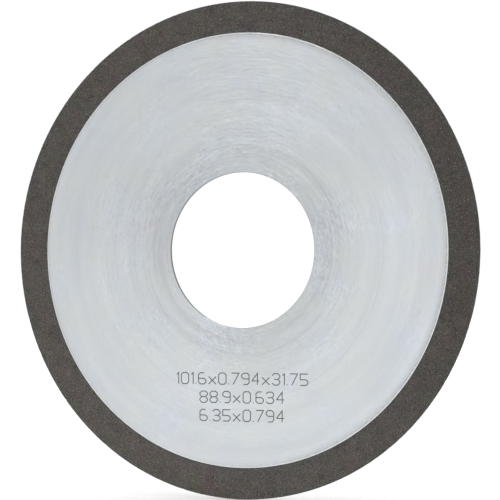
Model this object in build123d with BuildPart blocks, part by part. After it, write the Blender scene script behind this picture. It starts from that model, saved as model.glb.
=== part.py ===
"""A diamond cut-off wheel: a thin ground steel disc with a moulded rim of diamond grit and resin.

Millimetres, +Z up. The wheel stands upright: the origin is the middle of the bore, halfway through the
thickness, the wheel turns about +Y, and the marked face looks towards -Y.
"""

from build123d import *
import os

# The rim, which does the cutting.
outer_diameter = 101.6
rim_depth = 6.35  # from the wheel's edge in to the joint with the core
rim_thickness = 0.794  # the widest place on the wheel, so it sets the width of the cut

# The steel core.
bore_diameter = 31.75
bore_chamfer = 0.06
side_relief = 0.08  # each side of the core lies this far below the rim, so that it doesn't rub in the cut
land_width = 0.25  # a strip at the core's edge that was ground level with the rim

# The joint: a tongue round the core's edge sits in a groove in the rim, with a film of resin between them.
tongue_thickness = 0.3
tongue_length = 0.8
film_thickness = 0.1

# The marking: rows of single-stroke numerals, centred below the bore.
numeral_height = 2.3
numeral_width = 1.65
numeral_gap = 0.6
row_pitch = 3.75
stroke_width = 0.2
engraving_depth = 0.03

outer_radius = outer_diameter / 2
bore_radius = bore_diameter / 2
core_thickness = rim_thickness - 2 * side_relief
joint_radius = outer_radius - rim_depth
core_radius = joint_radius - film_thickness
land_radius = core_radius - land_width
tongue_radius = core_radius + tongue_length
groove_radius = tongue_radius + film_thickness
groove_thickness = tongue_thickness + 2 * film_thickness


def band(inner_radius, outer_radius, thickness, mode=Mode.ADD):
    """Adds to a half section the rectangle between two radii, centred on the middle of the thickness."""
    with Locations(((inner_radius + outer_radius) / 2, 0)):
        Rectangle(outer_radius - inner_radius, thickness, mode=mode)


# Each numeral is one pen stroke or two, on a grid 4 wide and 6 high.
STROKES = {
    "0": [[(0, 1), (0, 5), (1, 6), (3, 6), (4, 5), (4, 1), (3, 0), (1, 0), (0, 1)]],
    "1": [[(1, 5), (2, 6), (2, 0)]],
    "2": [[(0, 5), (1, 6), (3, 6), (4, 5), (4, 4), (0, 0), (4, 0)]],
    "3": [
        [(0, 5), (1, 6), (3, 6), (4, 5), (4, 4), (3, 3), (4, 2), (4, 1), (3, 0), (1, 0), (0, 1)],
        [(1, 3), (3, 3)],
    ],
    "4": [[(3, 0), (3, 6), (0, 2)], [(0, 2), (4, 2)]],
    "5": [[(4, 6), (0, 6), (0, 3), (3, 3), (4, 2), (4, 1), (3, 0), (0, 0)]],
    "6": [[(3, 6), (1, 6), (0, 5), (0, 1), (1, 0), (3, 0), (4, 1), (4, 2), (3, 3)], [(0, 3), (3, 3)]],
    "7": [[(0, 6), (4, 6), (1, 0)]],
    "8": [
        [(1, 3), (0, 4), (0, 5), (1, 6), (3, 6), (4, 5), (4, 4), (3, 3), (1, 3)],
        [(1, 3), (0, 2), (0, 1), (1, 0), (3, 0), (4, 1), (4, 2), (3, 3)],
    ],
    "9": [[(1, 0), (3, 0), (4, 1), (4, 5), (3, 6), (1, 6), (0, 5), (0, 4), (1, 3)], [(1, 3), (4, 3)]],
    ".": [[(2, 0), (2, 0.5)]],
    "x": [[(0, 0), (4, 4)], [(0, 4), (4, 0)]],
}
GRID_WIDTH = 4
GRID_HEIGHT = 6


def sizes(*values):
    """The text of one row: sizes in millimetres, joined by crosses."""
    return "x".join(f"{round(value, 3):g}" for value in values)


def reach(character):
    """The left and right ends of a numeral's strokes, as shares of the widest numeral's width."""
    across = [x / GRID_WIDTH for stroke in STROKES[character] for x, y in stroke]
    return min(across), max(across)


def engrave_row(text, row_middle):
    """Draws one centred row in the sketch that is open. A numeral takes up its own width and a gap."""
    widths = [(reach(character)[1] - reach(character)[0]) * numeral_width for character in text]
    left = -(sum(widths) + numeral_gap * (len(text) - 1)) / 2
    bottom = row_middle - numeral_height / 2
    for character, width in zip(text, widths):
        start = left - reach(character)[0] * numeral_width
        for stroke in STROKES[character]:
            points = [
                (start + x / GRID_WIDTH * numeral_width, bottom + y / GRID_HEIGHT * numeral_height)
                for x, y in stroke
            ]
            with BuildLine() as pen:
                Polyline(*points)
            trace(pen.line, line_width=stroke_width)
        left += width + numeral_gap


# The core: a thin web, the land at its edge, and the tongue that enters the rim.
with BuildPart() as steel_core:
    with BuildSketch(Plane.XY):
        band(bore_radius, land_radius, core_thickness)
        band(land_radius, core_radius, rim_thickness)
        band(core_radius, tongue_radius, tongue_thickness)
    revolve(axis=Axis.Y)
    bore_edges = steel_core.edges().filter_by(GeomType.CIRCLE).group_by(SortBy.RADIUS)[0]
    chamfer(bore_edges, bore_chamfer)

    # The middle row runs halfway between the bore and the land.
    front_face = Plane(origin=(0, -core_thickness / 2, 0), x_dir=(1, 0, 0), z_dir=(0, -1, 0))
    middle_row = -(bore_radius + land_radius) / 2
    with BuildSketch(front_face):
        engrave_row(sizes(outer_diameter, rim_thickness, bore_diameter), middle_row + row_pitch)
        engrave_row(sizes(2 * joint_radius, core_thickness), middle_row)
        engrave_row(sizes(rim_depth, rim_thickness), middle_row - row_pitch)
    extrude(amount=-engraving_depth, mode=Mode.SUBTRACT)

# The film lines the butt of the joint and wraps round the tongue.
with BuildPart() as bond_film:
    with BuildSketch(Plane.XY):
        band(core_radius, joint_radius, rim_thickness)
        band(core_radius, groove_radius, groove_thickness)
        band(core_radius, tongue_radius, tongue_thickness, mode=Mode.SUBTRACT)
    revolve(axis=Axis.Y)

# The rim: a plain ring with a groove round its inside.
with BuildPart() as abrasive_rim:
    with BuildSketch(Plane.XY):
        band(joint_radius, outer_radius, rim_thickness)
        band(joint_radius, groove_radius, groove_thickness, mode=Mode.SUBTRACT)
    revolve(axis=Axis.Y)

steel_core.part.label = "steel_core"
bond_film.part.label = "bond_film"
abrasive_rim.part.label = "abrasive_rim"

os.makedirs("parts", exist_ok=True)
export_step(steel_core.part, "parts/steel_core.step")
export_step(bond_film.part, "parts/bond_film.step")
export_step(abrasive_rim.part, "parts/abrasive_rim.step")
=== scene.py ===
# %% [markdown]
# # A diamond cut-off wheel
#
# This wheel slices hard things such as carbide, ceramic and stone. It is a thin disc of ground steel, and
# round its edge a maker has pressed a ring of resin full of diamond grit. There are three kinds of surface
# to make: satin steel with rings of grinding marks, a dark gritty rim, and the hairline of resin between
# them. The steel and the film come from the CAD frame and only need finishes. The rim is built again
# here, because its rough surface and its grit are shapes, and a CAD ring is perfectly smooth.
#
# Everything is in metres. The wheel stands upright, turns about the Y axis, and shows its marked face to -Y.

# %% Load the frame
import math

import bpy
import numpy as np
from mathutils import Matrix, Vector


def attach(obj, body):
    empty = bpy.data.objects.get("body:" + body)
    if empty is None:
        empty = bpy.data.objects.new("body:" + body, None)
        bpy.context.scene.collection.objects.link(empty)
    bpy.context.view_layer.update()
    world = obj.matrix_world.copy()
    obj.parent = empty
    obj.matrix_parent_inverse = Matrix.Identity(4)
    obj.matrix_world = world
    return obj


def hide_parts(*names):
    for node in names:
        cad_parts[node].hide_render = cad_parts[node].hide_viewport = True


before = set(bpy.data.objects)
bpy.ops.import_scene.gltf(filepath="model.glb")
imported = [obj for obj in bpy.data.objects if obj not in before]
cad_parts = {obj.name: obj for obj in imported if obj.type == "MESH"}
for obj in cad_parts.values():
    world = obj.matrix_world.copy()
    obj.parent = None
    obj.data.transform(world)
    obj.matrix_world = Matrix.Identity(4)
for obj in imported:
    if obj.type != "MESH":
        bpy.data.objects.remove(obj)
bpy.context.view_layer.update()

# %% [markdown]
# Every size that the CAD part already has is read from the frame, so nothing is typed twice. A node's
# vertices lie on a few circles and a few levels, and those are the radii and the half thicknesses of the
# real piece.

# %% Measure the wheel
MM = 0.001


def radii(node, level=0.0):
    """How near the axis and how far from it a CAD node's vertices lie, at this level or further out."""
    places = np.array([vertex.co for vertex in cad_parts[node].data.vertices])
    places = places[abs(places[:, 1]) > level - 0.001 * MM]
    distances = np.hypot(places[:, 0], places[:, 2])
    return float(distances.min()), float(distances.max())


def levels(node):
    """How far a CAD node's corners lie from the middle of the thickness, the smallest distance first."""
    found = {round(abs(vertex.co.y), 6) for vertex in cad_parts[node].data.vertices}
    return sorted(found)


bore_radius = radii("steel_core")[0]
film_radius, groove_radius = radii("bond_film")
joint_radius, outer_radius = radii("abrasive_rim")
half_groove, half_rim = levels("abrasive_rim")
half_bore_wall, marking_floor, half_core = levels("steel_core")[1:4]
strip_foot = radii("steel_core", half_rim)[0]
floor_level = -outer_radius
for name, size in (
    ("bore", bore_radius),
    ("foot of the edge strip", strip_foot),
    ("joint", joint_radius),
    ("outer", outer_radius),
):
    print(f"{name}: radius {size / MM:.3f} mm")
print(f"core {2 * half_core / MM:.3f} mm thick, rim {2 * half_rim / MM:.3f} mm thick")
print(f"numerals {(half_core - marking_floor) / MM:.3f} mm deep")

# %% [markdown]
# The camera stands to the right of the wheel and level with it, far away behind a long lens, so the circles
# look like ellipses with hardly any difference between the near side and the far side. Its distance is
# given in wheel diameters, and the lens follows from how much of the picture's height the wheel takes up.

# %% Place the camera
camera_azimuth = math.radians(22.9)
camera_elevation = math.radians(-0.8)
camera_distance = 5.3 * 2 * outer_radius
height_filled = 0.998
aim = Vector((1.7 * MM, 0, 0))

camera = bpy.data.objects.new("camera", bpy.data.cameras.new("camera"))
bpy.context.scene.collection.objects.link(camera)
bpy.context.scene.camera = camera
away = Vector((
    math.sin(camera_azimuth) * math.cos(camera_elevation),
    -math.cos(camera_azimuth) * math.cos(camera_elevation),
    math.sin(camera_elevation),
))
camera.location = aim + away * camera_distance
camera.rotation_euler = away.to_track_quat("Z", "Y").to_euler()
camera.data.lens = camera.data.sensor_width * height_filled * camera_distance / (2 * outer_radius)
camera.data.clip_start = 0.01
print(f"lens {camera.data.lens:.1f} mm at {camera_distance:.3f} m")

# %% [markdown]
# Finishes and shapes are both written as sums. A `Value` stands for one output of a node, and Python's own
# operators on it add Math nodes, so `1 - mask * 0.3` works as it reads. `Nodes` is any tree of nodes: its
# `add` method makes a node of any other type, sets its settings first and then fills its sockets with
# numbers or with Values. Vectors go through nodes of their own, because a Math node only knows numbers.

# %% Write node trees as sums
class Value:
    """One output socket of a node, with arithmetic."""

    def __init__(self, nodes, socket):
        self.nodes = nodes
        self.socket = socket

    def maths(self, operation, *terms):
        return self.nodes.add("ShaderNodeMath", {"operation": operation}, dict(enumerate(terms)))

    def __add__(self, other):
        return self.maths("ADD", self, other)

    def __sub__(self, other):
        return self.maths("SUBTRACT", self, other)

    def __rsub__(self, other):
        return self.maths("SUBTRACT", other, self)

    def __mul__(self, other):
        return self.maths("MULTIPLY", self, other)

    def __truediv__(self, other):
        return self.maths("DIVIDE", self, other)

    def __rtruediv__(self, other):
        return self.maths("DIVIDE", other, self)

    def __pow__(self, other):
        return self.maths("POWER", self, other)

    def __gt__(self, other):
        return self.maths("GREATER_THAN", self, other)

    def __lt__(self, other):
        return self.maths("LESS_THAN", self, other)

    def __abs__(self):
        return self.maths("ABSOLUTE", self)

    __radd__ = __add__
    __rmul__ = __mul__


class Nodes:
    """A tree of nodes."""

    def __init__(self, tree):
        self.tree = tree

    def feed(self, socket, value):
        """Link a Value to a socket, or give the socket a number, a vector or a colour."""
        if isinstance(value, Value):
            self.tree.links.new(value.socket, socket)
        elif isinstance(value, tuple) and len(value) == 3 and socket.type == "RGBA":
            socket.default_value = (*value, 1)
        else:
            socket.default_value = value

    def add(self, kind, settings={}, inputs={}, output=0):
        """A node of this type; the result is one of its outputs."""
        made = self.tree.nodes.new(kind)
        for name, value in settings.items():
            setattr(made, name, value)
        for name, value in inputs.items():
            self.feed(made.inputs[name], value)
        return Value(self, made.outputs[output])

    def parts(self, vector):
        """The three numbers of a vector."""
        made = self.tree.nodes.new("ShaderNodeSeparateXYZ")
        self.feed(made.inputs[0], vector)
        return [Value(self, output) for output in made.outputs]

    def vector(self, x, y, z):
        return self.add("ShaderNodeCombineXYZ", {}, {0: x, 1: y, 2: z})

    def scaled(self, vector, factor):
        """A vector or a colour times a number."""
        return self.add("ShaderNodeVectorMath", {"operation": "SCALE"}, {0: vector, "Scale": factor})

    def noise(self, vector, scale, detail=2.0, roughness=0.5):
        inputs = {"Vector": vector, "Scale": scale, "Detail": detail, "Roughness": roughness}
        return self.add("ShaderNodeTexNoise", {}, inputs)

    def ramp(self, value, low, high):
        """0 below low, 1 above high and smooth between; low may be the larger one."""
        inputs = {"Value": value, "From Min": low, "From Max": high}
        return self.add("ShaderNodeMapRange", {"interpolation_type": "SMOOTHSTEP"}, inputs)


# %% [markdown]
# The wheel stands on its edge on a pale floor, so the floor lies one outer radius below the axis. It is
# wide enough that its own edge never shows. Standard colour management shows each finish as it is.

# %% Lay the floor
half_floor = 3.0
scene = bpy.context.scene
scene.view_settings.view_transform = "Standard"


def mesh_object(name, vertices, edges, faces):
    """A new object with this mesh, at the origin, in the scene."""
    mesh = bpy.data.meshes.new(name)
    mesh.from_pydata([tuple(vertex) for vertex in vertices], edges, faces)
    made = bpy.data.objects.new(name, mesh)
    scene.collection.objects.link(made)
    return made


quarters = ((-1, -1), (1, -1), (1, 1), (-1, 1))
corners = [(x * half_floor, y * half_floor, floor_level) for x, y in quarters]
floor = mesh_object("floor", corners, [], [(0, 1, 2, 3)])
print(f"floor {2 * half_floor:.0f} m wide, {floor_level / MM:.1f} mm from the axis")

# %% [markdown]
# All round stands an even white tent, which the camera sees as plain white. A sun straight above lights
# the floor and hardly touches the upright faces. The steel is a blurred mirror with marks that run round,
# so it smears what it shows across the marks: a lamp high in front brightens the top, the bright floor
# brightens the bottom, and a weak lamp in front lifts the right side.

# %% Light the tent
tent_light = 0.88
seen_white = 1.02


def soft_lamp(name, place, width, power):
    """A square lamp that faces the middle of the wheel."""
    lamp = bpy.data.objects.new(name, bpy.data.lights.new(name, "AREA"))
    lamp.data.size = width
    lamp.data.energy = power
    lamp.location = place
    lamp.rotation_euler = Vector(place).to_track_quat("Z", "Y").to_euler()
    lamp.visible_camera = False
    scene.collection.objects.link(lamp)


scene.world = bpy.data.worlds.new("tent")
scene.world.use_nodes = True
tent = Nodes(scene.world.node_tree)
to_camera = tent.add("ShaderNodeLightPath", output="Is Camera Ray")
background = tent.tree.nodes["Background"]
tent.feed(background.inputs["Color"], (1, 1, 1))
tent.feed(background.inputs["Strength"], tent_light + to_camera * (seen_white - tent_light))

sun = bpy.data.objects.new("sun", bpy.data.lights.new("sun", "SUN"))
sun.data.energy = 1.3
sun.data.angle = math.radians(30)
scene.collection.objects.link(sun)
soft_lamp("high", (-0.35, -0.80, 0.55), 0.4, 0.85)
soft_lamp("front", (0.06, -1.00, 0.12), 0.5, 0.12)

# %% [markdown]
# A `Finish` is one material. Its keyword arguments set the shader's own sockets, and everything that
# changes over the surface is fed to Base Color, Roughness, Metallic or Normal.

# %% Finishes
class Finish(Nodes):
    """One material and the nodes in it."""

    def __init__(self, name, **sockets):
        self.material = bpy.data.materials.new(name)
        self.material.use_nodes = True
        super().__init__(self.material.node_tree)
        self.place = self.add("ShaderNodeTexCoord", output="Object")
        self.set(**sockets)

    def set(self, **sockets):
        """Feed sockets of the shader; an underscore stands for a space."""
        shader = self.tree.nodes["Principled BSDF"]
        for socket, value in sockets.items():
            self.feed(shader.inputs[socket.replace("_", " ")], value)

    def mix(self, factor, first, second, blend="MIX"):
        """The first colour where the factor is 0 and the second where it is 1, or their blend there."""
        settings = {"data_type": "RGBA", "blend_type": blend}
        return self.add("ShaderNodeMix", settings, {0: factor, 6: first, 7: second}, 2)

    def bump(self, height):
        """A normal from a height in metres."""
        return self.add("ShaderNodeBump", {}, {"Height": height, "Distance": 1.0, "Strength": 1.0})


# %% [markdown]
# A grinder leaves marks that run round the axis. Noise is drawn out into such marks by giving it the
# distance from the axis as one coordinate and the direction, as a point on a unit circle, as the other
# two. The circle closes on itself, so there is no seam. A larger `turns` makes shorter marks. The two
# sides of the wheel were ground on their own, so the back side reads another part of the noise.

# %% Marks that run round the wheel
class RoundFinish(Finish):
    """A finish that knows where it is on the wheel."""

    def __init__(self, name, **sockets):
        super().__init__(name, **sockets)
        self.x, self.y, self.z = self.parts(self.place)
        self.radius = (self.x * self.x + self.z * self.z) ** 0.5
        self.other_side = (self.y > 0) * 57  # how far the back side's noise lies from the front's

    def rings(self, width, turns, detail=2.0, roughness=0.5, centre=(0.0, 0.0)):
        """Noise drawn out round a centre: width is the size of a mark across, in metres."""
        x = self.x - centre[0]
        z = self.z - centre[1]
        radius = (x * x + z * z) ** 0.5
        vector = self.vector(radius / width + self.other_side, x / radius * turns, z / radius * turns)
        return self.noise(vector, 1.0, detail, roughness)

    def band(self, radius, half_width):
        """1 on a circle round the axis, and 0 further than half_width from it."""
        return self.ramp(abs(self.radius - radius), half_width, 0.0)


# %% [markdown]
# The steel is silvery and satin. Short fine marks lie everywhere and are stronger near the bore, in
# patches. Long thin rings and wider bands lie under them, and a faint second set is struck from another
# centre, as a cup wheel leaves it. Each kind of mark is one noise that swings about zero, and `tone`, how
# light the steel is, adds them up. The numbers in the list say how strong each kind is.

# %% Grinding marks on the steel
steel = RoundFinish("ground_steel", Metallic=1.0)
near_bore = steel.ramp(steel.radius, 30 * MM, 15 * MM)
towards_bore = steel.ramp(steel.radius, 42 * MM, 24 * MM)
patches = steel.ramp(steel.noise(steel.place, 90, 2.0), 0.36, 0.64)
fine = (steel.rings(0.36 * MM, 12, 2.0, 0.6) - 0.5) * (0.5 + patches)
dashes = (steel.rings(0.45 * MM, 32, 1.0) - 0.5) * (0.3 + patches)
hair = steel.rings(0.08 * MM, 7, 1.0) - 0.5
long = steel.rings(0.5 * MM, 0.9, 2.0, 0.6) - 0.5
bands = steel.rings(2.6 * MM, 1.3, 2.0) - 0.5
crossing = (steel.rings(0.4 * MM, 6, 2.0, 0.6, centre=(9 * MM, -14 * MM)) - 0.5) * patches
clouds = steel.noise(steel.place, 45, 3.0) - 0.5
marks = [
    # kind of mark, its strength everywhere, what the inner half adds, what the bore's surroundings add
    (fine, 0.05, 0.05, 0.24),
    (dashes, 0.10, 0.05, 0.10),
    (long, 0.05, 0.04, 0.16),
    (bands, 0.19, 0.0, 0.0),
    (crossing, 0.05, 0.0, 0.20),
    (clouds, 0.14, 0.0, 0.14),
]
tone = 0.985 - near_bore * 0.13
for mark, everywhere, added_inward, added_near_bore in marks:
    tone = tone + mark * (everywhere + towards_bore * added_inward + near_bore * added_near_bore)
print(len(marks), "kinds of mark")

# %% [markdown]
# The grinder dwelt at a few radii and left rings there, which only show on part of the circle. A few nicks,
# bright or dark, follow the same arcs: they are the peaks and the pits of one noise. Painted shade and light
# make the steel a little darker towards the top left and lighter towards the bottom right.

# %% Rings, nicks and painted shade
dwell_rings = [
    # radius and half width in millimetres, and how much lighter the ring is
    (17.3, 0.30, 0.035),
    (18.3, 0.40, -0.045),
    (20.1, 0.35, 0.020),
    (21.5, 0.50, -0.050),
    (22.7, 0.40, 0.020),
    (30.7, 0.30, -0.045),
]
seen_arc = 0.4 + 0.8 * steel.ramp(steel.rings(3 * MM, 1.2, 1.0), 0.40, 0.60)
for ring_radius, half_width, strength in dwell_rings:
    tone = tone + steel.band(ring_radius * MM, half_width * MM) * seen_arc * strength

nick_noise = steel.rings(0.4 * MM, 17, 1.0)
bright_nicks = steel.ramp(nick_noise, 0.70, 0.80) * patches
dark_nicks = steel.ramp(nick_noise, 0.30, 0.20) * patches
tone = tone + bright_nicks * 0.09 - dark_nicks * 0.10

# Painted shade and light: the steel's colour is darker towards the top left and lighter towards the bottom
# right.
painted_shade_upwards = (steel.z - steel.x * 0.3) / film_radius
tone = tone * (1 - painted_shade_upwards * 0.075)
print(len(dwell_rings), "rings where the grinder dwelt")

# %% [markdown]
# Bare steel isn't grey all over. Oil and handling leave faint greenish, bluish and pinkish clouds, so three
# tints are mixed by soft noise and then made lighter or darker by `tone`. The finest marks, as thin as a
# hair, do most of their work in the bump, where they blur what the steel mirrors.

# %% Colour, roughness and bump of the steel
greenish = (0.572, 0.598, 0.605)
bluish = (0.559, 0.590, 0.629)
pinkish = (0.581, 0.590, 0.611)
oiled = steel.ramp(steel.noise(steel.place, 100, 2.0), 0.36, 0.64)
handled = steel.ramp(steel.noise(steel.place, 130, 2.0), 0.52, 0.70)
colour = steel.scaled(steel.mix(handled * 0.7, steel.mix(oiled, greenish, bluish), pinkish), tone)
tone = tone + hair * 0.12
rough = 0.32 + fine * 0.2 + clouds * 0.1
height = MM * (hair * 0.025 + fine * 0.003 + dashes * 0.003 + bands * 0.005 + nick_noise * 0.002)
print("steel so far:", len(steel.tree.nodes), "nodes")

# %% [markdown]
# Four places on the steel differ. The numerals are etched dark. The strip at the core's edge was ground
# level with the rim; it is smoother, and its colour is lifted a little as a painted highlight. Its foot is
# darker, from dirt and from painted shade, most of all towards the right, and a broken dark line of painted
# shade fills the corner. The wall of the bore was turned, not ground, and is rougher and duller; it and the
# small chamfer at each end of it are painted darker as shade. Each place is a mask: a number that is 1 there
# and 0 elsewhere, worked out from the distance to the axis and from the level.

# %% Etching, edge strip and bore
bore_chamfer = half_core - half_bore_wall
etched = steel.ramp(steel.y, -half_core + 0.002 * MM, -half_core + 0.012 * MM)
on_web = steel.ramp(steel.radius, bore_radius + 1.0 * MM, bore_radius + 1.2 * MM) * steel.ramp(
    steel.radius, film_radius - 0.6 * MM, film_radius - 0.8 * MM
)
marking = etched * on_web * (1 - (steel.y > 0))
# The edge strip: smoother, and its colour lifted as a painted highlight.
strip_with_painted_highlight = steel.ramp(abs(steel.y), half_core + 0.02 * MM, half_core + 0.05 * MM)
# The foot is darkened partly by dirt and partly by painted shade, and the corner's broken dark line is
# painted shade, both stronger towards the right.
foot = steel.ramp(steel.radius, strip_foot - 1.7 * MM, strip_foot) * (1 - strip_with_painted_highlight)
corner_shade = steel.ramp(steel.radius, strip_foot - 0.3 * MM, strip_foot - 0.1 * MM) * (1 - strip_with_painted_highlight)
broken = steel.ramp(steel.rings(0.4 * MM, 60, 3.0, 0.6), 0.35, 0.65)
more_to_the_right = steel.ramp(steel.x * 0.95 + steel.z * 0.3, -30 * MM, 35 * MM)
dirt_and_shade = foot * (0.08 + more_to_the_right * (0.5 + 0.3 * broken)) + corner_shade * (0.1 + more_to_the_right * 0.6) * broken
# The bore wall is turned and a little rougher; its dark colour, and the chamfer's, are painted shade.
shaded_bore_wall = steel.ramp(steel.radius, bore_radius + 0.05 * MM, bore_radius + 0.02 * MM) * steel.ramp(
    abs(steel.y), half_bore_wall + 0.01 * MM, half_bore_wall
)
shaded_bore_edge = steel.ramp(steel.radius, bore_radius + bore_chamfer + 0.03 * MM, bore_radius + bore_chamfer)

# Painted highlight: the edge strip's colour is lifted towards light grey.
colour = steel.mix(strip_with_painted_highlight * 0.5, colour, (0.70, 0.70, 0.70))
# Dirt and painted shade darken the foot of the edge strip, and painted shade darkens its corner.
colour = steel.mix(dirt_and_shade * 0.4, colour, (0.20, 0.18, 0.15))
# Painted shade darkens the bore's chamfers and its wall.
for shaded_place, share in ((shaded_bore_edge, 0.5), (shaded_bore_wall, 0.7)):
    colour = steel.mix(shaded_place * share, colour, (0.12, 0.12, 0.125))
colour = steel.mix(marking, colour, (0.1, 0.1, 0.1))
rough = rough * (1 - strip_with_painted_highlight * 0.35) + marking * 0.25 + dirt_and_shade * 0.2 + shaded_bore_wall * 0.1
metallic = 1 - marking * 0.7 - dirt_and_shade * 0.3
steel.set(Base_Color=colour, Roughness=rough, Metallic=metallic, Normal=steel.bump(height))
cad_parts["steel_core"].data.materials[0] = steel.material
print("steel finish:", len(steel.tree.nodes), "nodes")

# %% [markdown]
# The film between steel and rim is cured primer, reddish brown and matt. Only its edge shows, a tenth of a
# millimetre wide, a little broken where grinding smeared it.

# %% Finish of the film
film = RoundFinish("cured_primer", Roughness=0.7)
smear = film.ramp(film.rings(0.2 * MM, 40, 2.0), 0.35, 0.65)
film_colour = film.mix(smear, (0.045, 0.034, 0.030), (0.12, 0.10, 0.095))
film.set(Base_Color=film_colour, Normal=film.bump(film.noise(film.place, 9000) * 0.004 * MM))
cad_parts["bond_film"].data.materials[0] = film.material
print("film finish:", len(film.tree.nodes), "nodes")

# %% [markdown]
# The rim's resin is dark brown-grey with fillers in it, so the eye sees a fine speckle of reddish, olive and
# light grains, and of larger black spots: painted shade that stands for pits where a grain was pulled out.
# Under the speckle the resin is mottled: mauve here, olive there, and greyer near its two edges, where
# truing smeared it. Faint rings show where its sides were trued. Over all of it lies painted light and
# shade: the ring is darker towards the upper right, lighter towards the lower left, and lighter towards its
# top and bottom.

# %% Finish of the rim's resin
resin = RoundFinish("filled_resin", Specular_IOR_Level=0.3)
rim_middle = (joint_radius + outer_radius) / 2
ground = resin.mix(resin.noise(resin.place, 500, 3.0), (0.0447, 0.039, 0.0353), (0.0612, 0.054, 0.048))
mottle = resin.ramp(resin.noise(resin.place, 330, 3.0, 0.6), 0.38, 0.62)
ground = resin.mix(1 - mottle, ground, (1.08, 0.935, 1.05), "MULTIPLY")
ground = resin.mix(mottle, ground, (0.98, 1.045, 0.90), "MULTIPLY")
warmer = resin.ramp(resin.noise(resin.place, 70, 2.0), 0.42, 0.58)
ground = resin.mix(warmer, ground, (1.04, 1.00, 0.97), "MULTIPLY")
fillers = [
    # where its soft clouds lie, how much it gathers in them, how large its grains are, its colour
    (1.00, 0.08, 0.12 * MM, (0.108, 0.077, 0.071)),
    (1.13, 0.08, 0.11 * MM, (0.086, 0.088, 0.066)),
    (1.26, 0.03, 0.12 * MM, (0.180, 0.177, 0.171)),
    # The last filler is black spots of painted shade, standing for pits where a grain was pulled out.
    (1.39, 0.06, 0.19 * MM, (0.004, 0.004, 0.004)),
]
for shift, gathering, size, tint in fillers:
    cloud = resin.ramp(resin.noise(resin.scaled(resin.place, shift), 280, 2.0), 0.42, 0.66)
    grains = resin.noise(resin.scaled(resin.place, shift), 1 / size, 1.0, 0.6)
    ground = resin.mix(resin.ramp(grains + cloud * gathering, 0.60, 0.67) * 0.8, ground, tint)
near_edges = resin.ramp(abs(resin.radius - rim_middle), 1.2 * MM, 3.2 * MM)
ground = resin.mix(near_edges, ground, (0.93, 1.03, 1.07), "MULTIPLY")
trued = resin.rings(0.3 * MM, 12, 2.0)
# Painted shade and light: darker towards the upper right, lighter towards the lower left and towards the top
# and bottom.
painted_shade_side = (resin.x * 0.6 + resin.z * 0.8) / resin.radius
painted_light_top_bottom = resin.z * resin.z / (resin.radius * resin.radius)
painted_light_and_shade = 0.96 + painted_light_top_bottom * 0.23 - painted_shade_side * 0.20
bumps = resin.noise(resin.place, 6000, 3.0, 0.6) * 0.05 * MM

# The noise of the last filler, the black spots of painted shade for pits, makes the resin rougher too.
resin.set(
    Base_Color=resin.scaled(ground, (0.76 + trued * 0.24) * painted_light_and_shade),
    Roughness=0.55 + grains * 0.4,
    Normal=resin.bump(bumps),
)
print("resin finish:", len(resin.tree.nodes), "nodes")

# %% [markdown]
# Geometry Nodes are a recipe for shapes: a tree of nodes takes an object's mesh, and its result replaces
# the mesh. A `Recipe` is such a tree with named inputs. `bake` lends the tree to an object through a
# modifier, sets the inputs, keeps the result as a plain mesh of its own, and takes the modifier off again.

# %% Recipes for shapes
class Recipe(Nodes):
    """A Geometry Nodes tree with named inputs."""

    def __init__(self, name, defaults):
        super().__init__(bpy.data.node_groups.new(name, "GeometryNodeTree"))
        sockets = self.tree.interface
        for direction in ("INPUT", "OUTPUT"):
            sockets.new_socket("Geometry", in_out=direction, socket_type="NodeSocketGeometry")
        for socket_name, default in defaults.items():
            kind = "NodeSocketInt" if isinstance(default, int) else "NodeSocketFloat"
            sockets.new_socket(socket_name, in_out="INPUT", socket_type=kind).default_value = default
        sockets.new_socket("Finish", in_out="INPUT", socket_type="NodeSocketMaterial")
        entry = self.tree.nodes.new("NodeGroupInput")
        self.given = {socket.name: Value(self, socket) for socket in entry.outputs if socket.name}
        self.place = self.add("GeometryNodeInputPosition")
        self.x, self.y, self.z = self.parts(self.place)
        self.radius = (self.x * self.x + self.z * self.z) ** 0.5

    def random(self, low, high, seed, kind="FLOAT"):
        """A random number or vector for each point."""
        outputs = {"FLOAT_VECTOR": 0, "FLOAT": 1}
        made = self.tree.nodes.new("FunctionNodeRandomValue")
        made.data_type = kind
        first, last = [socket for socket in made.inputs if socket.enabled][:2]
        for socket, value in ((first, low), (last, high), (made.inputs["Seed"], seed)):
            self.feed(socket, value)
        return Value(self, made.outputs[outputs[kind]])

    def moved(self, geometry, offset):
        return self.add("GeometryNodeSetPosition", {}, {"Geometry": geometry, "Offset": offset})

    def close(self, geometry):
        """End the tree with real geometry that wears the finish."""
        real = self.add("GeometryNodeRealizeInstances", {}, {"Geometry": geometry})
        done = self.add("GeometryNodeSetMaterial", {}, {"Geometry": real, "Material": self.given["Finish"]})
        self.feed(self.tree.nodes.new("NodeGroupOutput").inputs["Geometry"], done)

    def bake(self, source, name, given):
        """A new object: what the tree makes of the source with these inputs."""
        modifier = source.modifiers.new(name, "NODES")
        modifier.node_group = self.tree
        for item in self.tree.interface.items_tree:
            if item.name in given:
                modifier[item.identifier] = given[item.name]
        source.update_tag()
        shaped = source.evaluated_get(bpy.context.evaluated_depsgraph_get())
        made = bpy.data.objects.new(name, bpy.data.meshes.new_from_object(shaped))
        scene.collection.objects.link(made)
        source.modifiers.remove(modifier)
        print(f"{name}: {len(made.data.vertices)} vertices, {len(made.data.polygons)} faces")
        return made


# %% [markdown]
# The rim's body follows a rule: one section, turned about the axis. The section is a short list of
# corners, with a groove where the core's tongue sits, and a loop sets points along each side so that the
# surface can be roughened. Its resin lies slightly below the CAD faces, because on a real wheel the grit
# stands out of the resin and sets the thickness.

# %% Draw the rim's section
resin_recess = 0.045 * MM
corner_break = 0.05 * MM
point_spacing = 0.27 * MM
resin_radius = outer_radius - resin_recess
half_resin = half_rim - resin_recess


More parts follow.
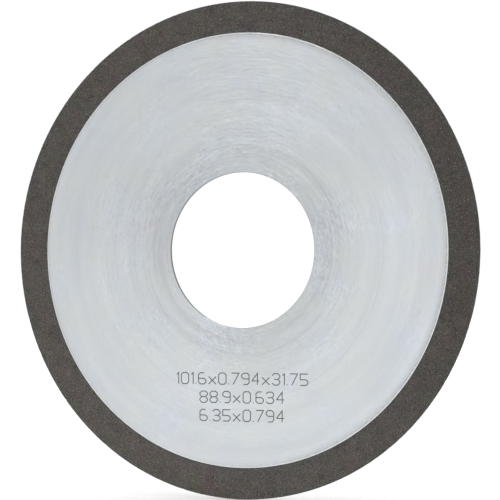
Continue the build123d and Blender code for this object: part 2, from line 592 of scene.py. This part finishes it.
def divided(corners, spacing):
    """Points along a closed outline, no further apart than spacing."""
    points = []
    for start, end in zip(corners, corners[1:] + corners[:1]):
        steps = math.ceil(math.dist(start, end) / spacing)
        points += [
            (start[0] + (end[0] - start[0]) * k / steps, start[1] + (end[1] - start[1]) * k / steps)
            for k in range(steps)
        ]
    return points


outline = divided([
    (joint_radius, -half_resin),
    (resin_radius - corner_break, -half_resin),
    (resin_radius, -half_resin + corner_break),
    (resin_radius, half_resin - corner_break),
    (resin_radius - corner_break, half_resin),
    (joint_radius, half_resin),
    (joint_radius, half_groove),
    (groove_radius, half_groove),
    (groove_radius, -half_groove),
    (joint_radius, -half_groove),
], point_spacing)
section = mesh_object(
    "rim_section",
    [(radius - joint_radius, level, 0) for radius, level in outline],
    [(k, (k + 1) % len(outline)) for k in range(len(outline))],
    [],
)
print("section:", len(outline), "points")

# %% [markdown]
# The tree sweeps the section along a circle and stands the ring upright. Then it pushes the surface in by a
# soft noise, and knocks small chips out of the two outer corners, where a second noise is high.

# %% Turn it and roughen it
turning = Recipe("turned_rim", {
    "Turning radius": joint_radius,
    "Steps round": 100,
    "Relief": 0.004 * MM,
    "Relief width": 0.6 * MM,
    "Corner radius": resin_radius,
    "Corner level": half_resin,
    "Chip depth": 0.05 * MM,
    "Chip width": 0.5 * MM,
})
given = turning.given
circle = {"Resolution": given["Steps round"], "Radius": given["Turning radius"]}
path = turning.add("GeometryNodeCurvePrimitiveCircle", {}, circle)
profile = turning.add("GeometryNodeMeshToCurve", {}, {"Mesh": given["Geometry"]})
curves = {"Curve": path, "Profile Curve": profile, "Fill Caps": False}
swept = turning.add("GeometryNodeCurveToMesh", {}, curves)
upright = turning.add("GeometryNodeTransform", {}, {"Geometry": swept, "Rotation": (math.pi / 2, 0, 0)})

# The joint's butt and groove stay smooth: only the two sides and the edge are roughened.
past_joint = turning.ramp(turning.radius, given["Turning radius"], given["Turning radius"] + 0.3 * MM)
on_edge = turning.radius > given["Corner radius"] - 1 * MM
outside = past_joint * turning.ramp(abs(turning.y) + on_edge, half_groove, half_groove + 0.05 * MM)
relief = turning.noise(turning.place, 1 / given["Relief width"], 2.0) * given["Relief"]
near_edge = turning.ramp(turning.radius, given["Corner radius"] - 0.3 * MM, given["Corner radius"])
near_side = turning.ramp(abs(turning.y), given["Corner level"] - 0.15 * MM, given["Corner level"])
chipped = turning.ramp(turning.noise(turning.place, 1 / given["Chip width"], 3.0), 0.52, 0.66)
depth = (relief + near_edge * near_side * chipped * given["Chip depth"]) * outside
inwards = turning.scaled(turning.add("GeometryNodeInputNormal"), -1 * depth)
turning.close(turning.moved(upright, inwards))

rim_steps = round(2 * math.pi * outer_radius / point_spacing)
rim = turning.bake(section, "rim_resin", {"Steps round": rim_steps, "Finish": resin.material})
bpy.data.objects.remove(section)

# %% [markdown]
# The grit is sown on the rim's outer faces. Each grain is a crystal of twenty facets, turned and stretched
# at random, and sunk until only its top stands out, about as far as the CAD face. Instances keep the tree
# light, and they become real facets at its end.

# %% Sow the grit
sowing = Recipe("sown_grit", {
    "Grains per square metre": 1e6,
    "Seed": 1,
    "Smallest": 0.06 * MM,
    "Largest": 0.10 * MM,
    "Stands out": resin_recess,
    "Cluster width": 1.5 * MM,
})
full_turn = 6.283  # radians
given = sowing.given
shown_side = (abs(sowing.y) > half_groove + 0.05 * MM) * (sowing.radius > joint_radius + 0.15 * MM)
shown_edge = (sowing.radius > resin_radius - 0.01 * MM) * (abs(sowing.y) < half_resin - 0.07 * MM)
clusters = 0.75 + 0.5 * sowing.ramp(sowing.noise(sowing.place, 1 / given["Cluster width"]), 0.35, 0.65)
scattered = sowing.tree.nodes.new("GeometryNodeDistributePointsOnFaces")
for socket, value in (
    ("Mesh", given["Geometry"]),
    ("Selection", shown_side + shown_edge),
    ("Density", given["Grains per square metre"] * clusters),
    ("Seed", given["Seed"]),
):
    sowing.feed(scattered.inputs[socket], value)
grain_size = sowing.random(given["Smallest"], given["Largest"], given["Seed"] + 10)
out = sowing.random(0.55, 1.0, given["Seed"] + 20) * given["Stands out"]
normal = Value(sowing, scattered.outputs["Normal"])
sunk = sowing.moved(Value(sowing, scattered.outputs["Points"]), sowing.scaled(normal, out - grain_size))
stretch = sowing.random((0.85, 0.85, 0.85), (1.0, 1.0, 1.0), given["Seed"] + 30, "FLOAT_VECTOR")
turn = sowing.random((0.0,) * 3, (full_turn,) * 3, given["Seed"] + 40, "FLOAT_VECTOR")
grain = sowing.add("GeometryNodeMeshIcoSphere", {}, {"Radius": 1.0, "Subdivisions": 1})
sown = sowing.add("GeometryNodeInstanceOnPoints", {}, {
    "Points": sunk,
    "Instance": grain,
    "Rotation": sowing.add("FunctionNodeEulerToRotation", {}, {0: turn}),
    "Scale": sowing.scaled(stretch, grain_size),
})
sowing.close(sown)
print("sowing recipe:", len(sowing.tree.nodes), "nodes")

# %% [markdown]
# Diamond for resin bonds is often clad in metal, which the resin grips better, so there are four kinds of
# grit: clad in nickel, clad in copper, bare, and dark carbide filler. Each kind is a piece of its own. The
# same tree is baked four times, with another density, seed and finish, which is what named inputs are for.
# A grain is so small that its finish is simple: fine noise picks between two shades of its colour, and its
# facets do the rest.

# %% Finishes of the grit, and the sowing itself
grit_kinds = {
    # name: (colour, its other shade, metallic, roughness, grains per square millimetre, seed)
    "grit_nickel": ((0.16, 0.155, 0.147), (0.37, 0.36, 0.342), 0.6, 0.45, 2.2, 3),
    "grit_copper": ((0.115, 0.070, 0.059), (0.22, 0.132, 0.108), 0.5, 0.5, 1.6, 5),
    "grit_bare": ((0.082, 0.079, 0.056), (0.25, 0.235, 0.16), 0.0, 0.35, 2.2, 7),
    "grit_dark": ((0.008, 0.008, 0.009), (0.025, 0.024, 0.023), 0.0, 0.4, 2.2, 11),
}
grit = []
for kind, (first, second, metallic, roughness, density, seed) in grit_kinds.items():
    finish = Finish(kind, Metallic=metallic, Specular_IOR_Level=0.4)
    shade = finish.noise(finish.place, 4000, 1.0)
    finish.set(
        Base_Color=finish.mix(finish.ramp(shade, 0.35, 0.65), first, second),
        Roughness=roughness + (shade - 0.5) * 0.4,
    )
    grit.append(sowing.bake(rim, kind, {
        "Grains per square metre": density / MM**2,
        "Seed": seed,
        "Finish": finish.material,
    }))

# %% [markdown]
# The rim made here stands for the CAD rim, and all pieces ride on the wheel's one body, because no part of
# it moves by itself. The floor gets a pale finish of its own.

# %% Attach the pieces and finish
rim.data.shade_smooth()
rim.data.set_sharp_from_angle(angle=math.radians(40))
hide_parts("abrasive_rim")
for piece in [rim, *grit]:
    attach(piece, "root")

pale = Finish("pale_floor", Roughness=0.8)
pale.set(Base_Color=pale.mix(pale.noise(pale.place, 3.0), (0.90, 0.90, 0.90), (0.93, 0.93, 0.93)))
floor.data.materials.append(pale.material)
